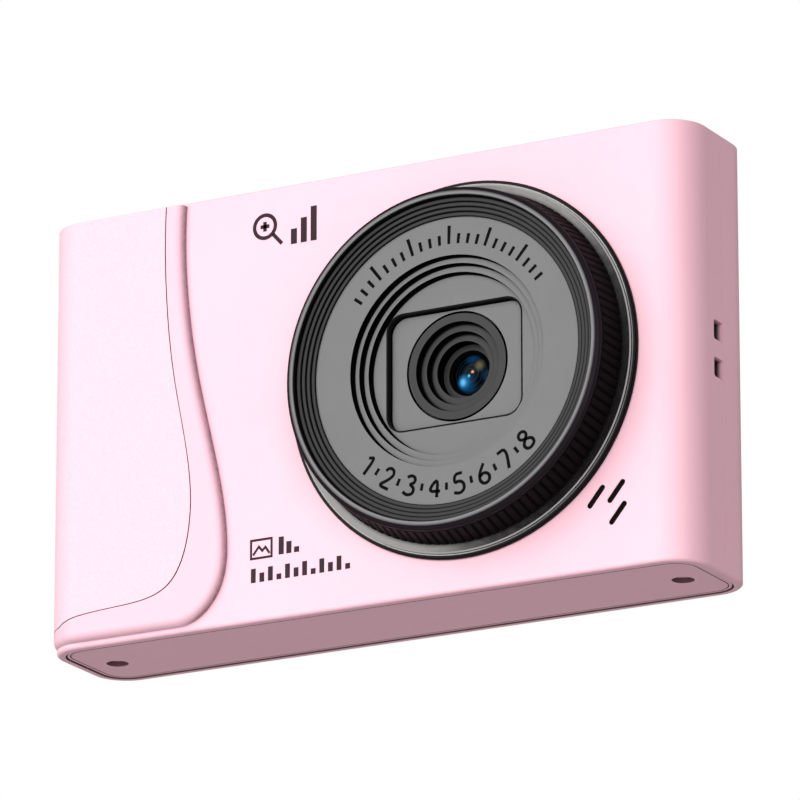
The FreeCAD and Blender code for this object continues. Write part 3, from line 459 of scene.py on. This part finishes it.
def shell_material():
    """Pink satin moulding with painted shade: black in the sound slots, dark deep in the strap slots and on
    the inner walls of the bottom joint.
    """
    g = Graph("pink_shell")
    # painted shade: the walls of the sound slots are black
    sound = g.within(("X", SOUND_X, SOUND_HALF[0]), ("Y", FRONT + 0.0010, SOUND_HALF[1]),
                     ("Z", SOUND_Z, SOUND_HALF[2]))
    # painted shade: the strap slots darken with depth
    strap = g.product(g.within(("Y", STRAP_Y, STRAP_HALF_Y), ("Z", STRAP_Z, STRAP_HALF_Z)),
                      g.span(g.coordinate("X"), SIDE_X - STRAP_LIT, SIDE_X - STRAP_DARK),
                      g.maths("GREATER_THAN", g.coordinate("X"), SIDE_X - STRAP_END))
    # painted shade: the inner walls round the bottom plate, up to JOINT_TOP, are dark
    sideways = g.maths("MULTIPLY", g.facing("X"), g.coordinate("X"))
    depth = g.maths("SUBTRACT", g.coordinate("Y"), (FRONT + REAR) / 2)
    outward = g.maths("ADD", sideways, g.maths("MULTIPLY", g.facing("Y"), depth))
    joint = g.product(g.maths("LESS_THAN", outward, -0.001),
                      g.maths("LESS_THAN", g.coordinate("Z"), JOINT_TOP))
    drift = g.span(g.noise(DRIFT, 3.0), 0.3, 0.7)
    tone = g.blend(drift, PINK, PINK_DEEP)
    tone = g.blend(g.maths("MAXIMUM", strap, sound), tone, (0.012, 0.006, 0.008))
    tone = g.blend(joint, tone, (0.10, 0.05, 0.065))
    gloss = g.span(g.noise(GLOSS, 4.0), 0.25, 0.75, 0.49, 0.56)
    g.set(Base_Color=tone, Roughness=gloss, Specular_IOR_Level=0.58,
          Normal=g.bump(g.noise(SPARK, 2.0, 0.6), 0.05))
    return g.material


def base_material():
    """Matt pink plate with painted shade on its narrow walls, groove and screw recesses."""
    g = Graph("pink_base")
    # painted shade: faces that do not look down are dark, recessed faces half dark
    wall = g.span(g.facing("Z"), -0.9, -0.6)
    deep = g.maths("GREATER_THAN", g.coordinate("Z"), 0.0003)
    dark = g.maths("MAXIMUM", wall, g.maths("MULTIPLY", deep, 0.5))
    drift = g.span(g.noise(DRIFT, 3.0), 0.3, 0.7)
    g.set(Base_Color=g.blend(dark, g.blend(drift, PINK, PINK_DEEP), (0.16, 0.08, 0.10)),
          Roughness=g.span(g.noise(GLOSS, 4.0), 0.25, 0.75, 0.46, 0.55),
          Normal=g.bump(g.noise(SPARK, 2.0, 0.6), 0.1))
    return g.material


def grip_material():
    """Frame of the grip: satin pink with painted shade where its rounded edge meets the body."""
    g = Graph("pink_grip")
    # painted shade: darker towards the body on faces that turn to +x, broken up by grain
    foot = g.span(g.coordinate("Y"), FRONT - 0.0012, FRONT - 0.0002)
    grain = g.span(g.noise(1500.0, 3.0, 0.6), 0.35, 0.65, 0.75, 1.0)
    edge = g.product(foot, g.span(g.facing("X"), 0.1, 0.55), grain)
    drift = g.span(g.noise(DRIFT, 3.0), 0.3, 0.7)
    tone = g.blend(drift, FRAME_PINK, tuple(c * 0.98 for c in FRAME_PINK))
    g.set(Base_Color=g.blend(g.maths("MULTIPLY", edge, 0.95), tone, (0.20, 0.105, 0.135)),
          Roughness=g.span(g.noise(900.0, 4.0), 0.25, 0.75, 0.42, 0.52),
          Normal=g.bump(g.noise(3200.0, 3.0, 0.6), 0.12, 0.00003))
    return g.material


def metal(name, colour, rough):
    """Metal with a fine uneven surface."""
    g = Graph(name)
    height = g.noise(2500.0, 4.0)
    tone = g.blend(g.span(g.noise(300.0), 0.3, 0.7), colour, tuple(c * 0.88 for c in colour))
    g.set(Base_Color=tone, Metallic=1.0, Roughness=g.span(height, 0.2, 0.8, rough - 0.05, rough + 0.06),
          Normal=g.bump(height, 0.08))
    return g.material


def glass(name, tint, rough=0.02):
    """Coated glass with a faint smear in its gloss."""
    g = Graph(name)
    g.set(Base_Color=g.blend(g.span(g.noise(200.0), 0.3, 0.7), tint, tuple(c * 0.95 for c in tint)),
          Roughness=g.span(g.noise(60.0, 4.0), 0.3, 0.8, rough, rough + 0.03),
          Transmission_Weight=1.0, IOR=1.5)
    return g.material


def screen_glass():
    """Near-black cover glass with faint smears."""
    g = Graph("screen_glass")
    smear = g.noise(70.0, 5.0, 0.6)
    g.set(Base_Color=g.blend(g.span(smear, 0.3, 0.7), (0.004, 0.004, 0.005), (0.007, 0.007, 0.009)),
          Roughness=g.span(smear, 0.3, 0.8, 0.03, 0.10), Coat_Weight=0.6, Coat_Roughness=0.03, IOR=1.52)
    return g.material


def lens_glass():
    """Front element: near-black with faint rings, and painted reflections and glints in the colours of the
    coated elements behind it.
    """
    g = Graph("lens_glass")
    rings = g.maths("SINE", g.maths("MULTIPLY", g.radius(), 11500.0))
    tone = g.blend(g.span(rings, 0.2, 1.0), (0.0008, 0.001, 0.0014), (0.005, 0.010, 0.016))
    # each painted reflection and glint: place and size in mm, how far it is squeezed, strength, colour
    for x, z, size, squeeze, strength, colour in (
            (-0.6, -1.6, 1.9, 1.0, 0.75, (0.003, 0.05, 0.14)),
            (0.2, 2.15, 1.5, 1.4, 0.8, (0.003, 0.035, 0.095)),
            (2.0, -0.2, 1.1, 0.6, 0.35, (0.002, 0.02, 0.055)),
            (-1.1, -1.05, 1.3, 1.0, 0.9, (0.015, 0.18, 0.42)),
            (-1.2, -1.1, 0.75, 1.0, 0.85, (0.12, 0.48, 0.80)),
            (1.35, 1.0, 0.9, 0.8, 0.5, (0.19, 0.165, 0.08)),
            (-0.15, -0.35, 0.32, 1.0, 1.0, (0.08, 0.45, 0.65)),
            (0.4, 0.15, 0.32, 1.0, 1.0, (0.75, 0.37, 0.18))):
        tone = g.blend(g.maths("MULTIPLY", g.patch(x, z, size, squeeze), strength), tone, colour)
    rim = g.span(g.radius(), GLASS_RIM[0] * MM, GLASS_RIM[1] * MM)
    tone = g.blend(g.maths("MULTIPLY", rim, 0.35), tone, (0.001, 0.002, 0.004))
    g.set(Base_Color=tone, Roughness=g.span(g.noise(400.0, 3.0), 0.2, 0.8, 0.04, 0.07),
          Specular_IOR_Level=0.04, Specular_Tint=(0.4, 0.7, 1.0), IOR=1.5)
    return g.material


def ink(name, colour):
    """Screen-printed ink, slightly uneven."""
    return moulded(name, colour, tuple(c * 0.85 for c in colour), 0.7, 0.03, spec=0.03)


def board():
    """Circuit board lacquer with a faint pattern of copper tracks under it."""
    g = Graph("circuit_board")
    tracks = g.add("ShaderNodeTexBrick")
    g.put(tracks.inputs["Vector"], g.place)
    tracks.inputs["Scale"].default_value = 260.0
    tracks.inputs["Color1"].default_value = (0.010, 0.085, 0.035, 1)
    tracks.inputs["Color2"].default_value = (0.014, 0.11, 0.045, 1)
    tracks.inputs["Mortar"].default_value = (0.03, 0.19, 0.08, 1)
    g.set(Base_Color=tracks.outputs["Color"], Roughness=g.span(g.noise(600.0), 0.3, 0.7, 0.3, 0.42),
          Normal=g.bump(g.noise(3000.0), 0.05))
    return g.material


def make_materials():
    """Gives every piece its material."""
    black = moulded("lens_black", (0.0026, 0.0022, 0.0026), (0.0045, 0.0036, 0.0042), 0.45, 0.06, spec=0.04)
    dark = moulded("chassis", (0.02, 0.02, 0.022), (0.026, 0.026, 0.028), 0.6, 0.12)
    table = {
        "front_cover rear_cover top_plate": shell_material(),
        "bottom_plate bottom_screws": base_material(),
        "grip_frame": grip_material(),
        "grip_pad": leather("pink_leather", (0.79, 0.49, 0.57), (0.765, 0.467, 0.547)),
        "lens_base_ring": flange_material(),
        "lens_knurled_ring": black,
        "well_liner sound_mesh": moulded("deep_black", (0.004, 0.004, 0.004), (0.006, 0.006, 0.006),
                                         0.8, 0.3, spec=0.1),
        "lens_front_ring": bezel_material(),
        "lens_trim_ring": trim_material(),
        "lens_face_plate": shade_painted_steps("lens_grey", (0.151, 0.151, 0.153), STEP_RADII, 0.32, 0.12, well=True),
        "lens_cone": shade_painted_steps("lens_funnel", (0.040, 0.039, 0.041), FUNNEL_RADII, 0.22, 0.4),
        "lens_front_glass": lens_glass(),
        "lens_rear_glass": glass("rear_glass", (0.9, 0.95, 1.0)),
        "ir_filter": glass("filter_glass", (0.7, 0.95, 1.0)),
        "status_lamp lamp_chip": glass("clear_pin", (0.85, 1.0, 0.88), 0.1),
        "lens_barrel": metal("black_anodised", (0.03, 0.03, 0.032), 0.4),
        "lens_holder lens_carrier mid_frame battery_bracket rear_switches top_switches": dark,
        "carrier_screws sensor_screws board_screws": metal("screw_steel", (0.33, 0.30, 0.31), 0.36),
        "usb_port card_socket microphone": metal("plated_steel", (0.62, 0.61, 0.60), 0.28),
        "image_sensor main_chips speaker": moulded("chip_black", (0.012, 0.012, 0.013), (0.018, 0.018, 0.02),
                                                   0.5, 0.15),
        "sensor_board main_board top_board": board(),
        "sensor_flex lcd_flex": moulded("amber_film", (0.42, 0.17, 0.03), (0.36, 0.14, 0.025), 0.3, 0.02),
        "battery": moulded("cell_foil", (0.45, 0.47, 0.5), (0.4, 0.42, 0.46), 0.3, 0.2, 900.0),
        "battery_leads speaker_leads": moulded("wire", (0.35, 0.015, 0.012), (0.3, 0.012, 0.01), 0.45, 0.05),
        "lcd_module": moulded("panel", (0.01, 0.01, 0.012), (0.014, 0.014, 0.016), 0.15, 0.0),
        "lcd_gasket": moulded("foam", (0.015, 0.015, 0.015), (0.022, 0.022, 0.022), 0.9, 0.6, 1800.0),
        "lcd_window": screen_glass(),
    }
    keys = "shutter_button power_button zoom_rocker ok_button menu_button mode_button playback_button"
    keys += " delete_button left_key up_key right_key down_key"
    table[keys] = moulded("key_plastic", (0.74, 0.48, 0.55), (0.72, 0.465, 0.53), 0.33, 0.04, coat=0.2)
    for names, material in table.items():
        for name in names.split():
            mesh = nodes[name].data
            mesh.materials.clear()
            mesh.materials.append(material)


# ---- printed marks ----
INK_UP = 0.02 * MM       # ink above the surface
INK_DOWN = -0.01 * MM    # and its underside just below it
ICONS = {
    "frame": [[(0, 0), (1, 0), (1, 0.8), (0, 0.8), (0, 0)],
              [(0.1, 0.15), (0.38, 0.5), (0.55, 0.3), (0.7, 0.45), (0.9, 0.15)]],
    "play": [[(0.25, 0.1), (0.25, 0.9), (0.9, 0.5), (0.25, 0.1)]],
    "bin": [[(0.2, 0.75), (0.28, 0), (0.72, 0), (0.8, 0.75)], [(0.1, 0.78), (0.9, 0.78)],
            [(0.38, 0.95), (0.62, 0.95)], [(0.5, 0.6), (0.5, 0.18)]],
    "lines": [[(0.1, 0.2), (0.9, 0.2)], [(0.1, 0.5), (0.9, 0.5)], [(0.1, 0.8), (0.9, 0.8)]],
    "plus": [[(0.5, 0.15), (0.5, 0.85)], [(0.15, 0.5), (0.85, 0.5)]],
}
DIGITS = {
    1: [[(0.15, 0.78), (0.45, 1), (0.45, 0)]],
    2: [[(0.08, 0.76), (0.16, 0.94), (0.36, 1.0), (0.55, 0.9), (0.58, 0.68), (0.4, 0.4), (0.05, 0.0),
         (0.62, 0.0)]],
    3: [[(0.06, 0.86), (0.3, 1.0), (0.54, 0.9), (0.55, 0.66), (0.28, 0.55), (0.57, 0.42), (0.58, 0.14),
         (0.32, 0.0), (0.04, 0.12)]],
    4: [[(0.5, 0), (0.5, 1), (0.0, 0.3), (0.66, 0.3)]],
    5: [[(0.56, 1), (0.12, 1), (0.08, 0.56), (0.36, 0.64), (0.58, 0.48), (0.58, 0.16), (0.34, 0.0),
         (0.04, 0.1)]],
    6: [[(0.5, 1), (0.18, 0.66), (0.06, 0.3), (0.18, 0.04), (0.42, 0.0), (0.6, 0.18), (0.56, 0.44),
         (0.34, 0.56), (0.1, 0.42)]],
    7: [[(0.04, 1), (0.6, 1), (0.24, 0)]],
    8: [[(0.32, 0.54), (0.08, 0.7), (0.12, 0.93), (0.32, 1), (0.52, 0.93), (0.56, 0.7), (0.32, 0.54),
         (0.04, 0.36), (0.08, 0.08), (0.32, 0.0), (0.56, 0.08), (0.6, 0.36), (0.32, 0.54)]],
}


def circle(x, z, r, count=32):
    """Closed stroke round (x, z)."""
    return [(x + r * math.cos(2 * math.pi * i / count), z + r * math.sin(2 * math.pi * i / count))
            for i in range(count + 1)]


def scaled(lines, x, z, size):
    """Strokes of a unit icon, with its lower left corner at (x, z)."""
    return [[(x + u * size, z + v * size) for u, v in line] for line in lines]


def rounded(line, turns=2):
    """Cuts the corners of an open line so that it reads as a curve."""
    for _ in range(turns):
        out = [line[0]]
        for (ax, az), (bx, bz) in zip(line, line[1:]):
            out.append((0.75 * ax + 0.25 * bx, 0.75 * az + 0.25 * bz))
            out.append((0.25 * ax + 0.75 * bx, 0.25 * az + 0.75 * bz))
        line = out + [line[-1]]
    return line


def ribbon(line, width):
    """Outline of a stroke with mitred corners; (x, z) points in mm."""
    closed = math.dist(line[0], line[-1]) < 1e-6
    points = line[:-1] if closed else line
    count = len(points)
    left = []
    right = []
    for i, (x, z) in enumerate(points):
        before = points[i - 1] if i or closed else None
        after = points[(i + 1) % count] if i < count - 1 or closed else None
        arms = []
        for a, b in ((before, (x, z)), ((x, z), after)):
            if a and b:
                length = math.dist(a, b)
                arms.append(((b[0] - a[0]) / length, (b[1] - a[1]) / length))
        tx = sum(a[0] for a in arms)
        tz = sum(a[1] for a in arms)
        length = math.hypot(tx, tz)
        tx, tz = tx / length, tz / length
        grow = width / 2 / max(tx * arms[0][0] + tz * arms[0][1], 0.45)
        left.append((x - tz * grow, z + tx * grow))
        right.append((x + tz * grow, z - tx * grow))
    return left, right, closed


def add_stroke(bm, line, width, y, facing, warp):
    """Adds one stroke to the mesh, as a bar with four corners in each cross-section."""
    left, right, closed = ribbon(line, width)
    rows = []
    for (lx, lz), (rx, rz) in zip(left, right):
        if warp:
            (lx, lz), (rx, rz) = warp(lx, lz), warp(rx, rz)
        corners = ((lx, lz, INK_UP), (rx, rz, INK_UP), (rx, rz, INK_DOWN), (lx, lz, INK_DOWN))
        rows.append([bm.verts.new((px * MM, y + depth * facing, pz * MM)) for px, pz, depth in corners])
    pairs = list(zip(rows, rows[1:]))
    if closed:
        pairs.append((rows[-1], rows[0]))
    else:
        bm.faces.new(rows[0])
        bm.faces.new(rows[-1][::-1])
    for a, b in pairs:
        for k in range(4):
            bm.faces.new((a[k], b[k], b[(k + 1) % 4], a[(k + 1) % 4]))


def print_strokes(name, lines, width, y, facing, material, warp=None):
    """Thin layer of ink in the plane y (m) facing -1 (front) or +1 (rear). Lines hold (x, z) points
    in mm, or (u, v) points that warp turns into them."""
    bm = bmesh.new()
    for line in lines:
        add_stroke(bm, line, width, y, facing, warp)
    bmesh.ops.recalc_face_normals(bm, faces=bm.faces)
    mesh = bpy.data.meshes.new(name)
    bm.to_mesh(mesh)
    bm.free()
    obj = bpy.data.objects.new(name, mesh)
    bpy.context.scene.collection.objects.link(obj)
    obj.data.materials.append(material)
    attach(obj, "camera_body")


def bars(x, z, count, pitch, width, heights):
    """Upright bars side by side, their stroke width being the bar width."""
    middles = [x + i * pitch + width / 2 for i in range(count)]
    return [[(middle, z), (middle, z + heights[i % len(heights)])] for i, middle in enumerate(middles)]


def front_marks(dark):
    """Generic marks on the front: magnifier with rising bars, picture frame with bars, row of small bars."""
    x = -16.9
    z = 52.9
    lens = [circle(x + 2.0, z + 3.2, 1.65), [(x + 3.25, z + 1.95), (x + 4.7, z + 0.35)]]
    lens += scaled(ICONS["plus"], x + 1.0, z + 2.2, 2.0)
    print_strokes("mark_magnifier", lens, 0.55, FRONT, -1, dark)
    print_strokes("mark_bars", bars(x + 6.1, z, 3, 1.55, 0.95, (2.2, 3.6, 5.0)), 0.95, FRONT, -1, dark)
    x = -16.8
    print_strokes("mark_picture", scaled(ICONS["frame"], x, 8.9, 3.2), 0.34, FRONT, -1, dark)
    print_strokes("mark_squares", bars(x + 4.3, 8.95, 3, 1.2, 0.8, (2.5, 1.7, 0.8)), 0.8, FRONT, -1, dark)
    print_strokes("mark_blocks", bars(x, 5.5, 12, 1.33, 0.75, (2.0, 1.3, 2.0, 0.8)), 0.75, FRONT, -1, dark)


def scale_marks(black):
    """Dial scale on the lens face: long and short ticks above, numbers with ticks between below."""
    def on_arc(middle, turn):
        def warp(u, v):
            angle = middle - turn * u / SCALE_RADIUS
            r = SCALE_RADIUS + turn * (v - 1.5)
            return AXIS_X / MM + r * math.cos(angle), AXIS_Z / MM + r * math.sin(angle)
        return warp
    upper = []
    for i in range(23):
        u = (i - 11) * 1.5
        upper.append([(u, 0.3), (u, 2.9 if i % 4 == 3 else 1.7)])
    print_strokes("scale_upper", upper, 0.46, FACE, -1, black, on_arc(math.radians(88.5), 1))
    lower = []
    for i in range(8):
        u = (i - 3.5) * 3.75
        lower += [[(u + a * 2.8 - 0.9, b * 2.8) for a, b in rounded(line)] for line in DIGITS[i + 1]]
        if i < 7:
            lower.append([(u + 1.875, 0.9), (u + 1.875, 1.9)])
    print_strokes("scale_lower", lower, 0.44, FACE, -1, black, on_arc(math.radians(-90), -1))


def rear_marks(dark):
    """Generic icons beside the rear keys."""
    for name, icon, key in (("mark_play", "play", "playback_button"), ("mark_bin", "bin", "delete_button"),
                            ("mark_menu", "lines", "menu_button")):
        low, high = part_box(key)
        middle = (low.x + high.x) / 2 / MM
        flipped = [[(2 * middle - px, pz) for px, pz in line]
                   for line in scaled(ICONS[icon], middle - 0.9, high.z / MM + 0.8, 1.8)]
        print_strokes(name, flipped, 0.24, REAR, 1, dark)


def floor():
    """Plain light grey floor under the object."""
    mesh = bpy.data.meshes.new("floor")
    corners = [(x * FLOOR_HALF, y * FLOOR_HALF, FLOOR_Z) for x, y in ((-1, -1), (1, -1), (1, 1), (-1, 1))]
    mesh.from_pydata(corners, [], [(0, 1, 2, 3)])
    obj = bpy.data.objects.new("floor", mesh)
    bpy.context.scene.collection.objects.link(obj)
    obj.data.materials.append(moulded("floor_paint", (0.52, 0.52, 0.52), (0.505, 0.505, 0.505), 0.8, 0.0))


camera()
world()
area_light("key", -AZIMUTH, -ELEVATION, KEY_DISTANCE, KEY_HALF, KEY_RADIANCE, (1.0, 0.985, 0.965))
area_light("side", *SIDE)
make_materials()
front_marks(ink("ink_dark", (0.040, 0.026, 0.033)))
scale_marks(ink("ink_black", (0.003, 0.003, 0.003)))
rear_marks(ink("ink_rear", (0.25, 0.15, 0.18)))
floor()
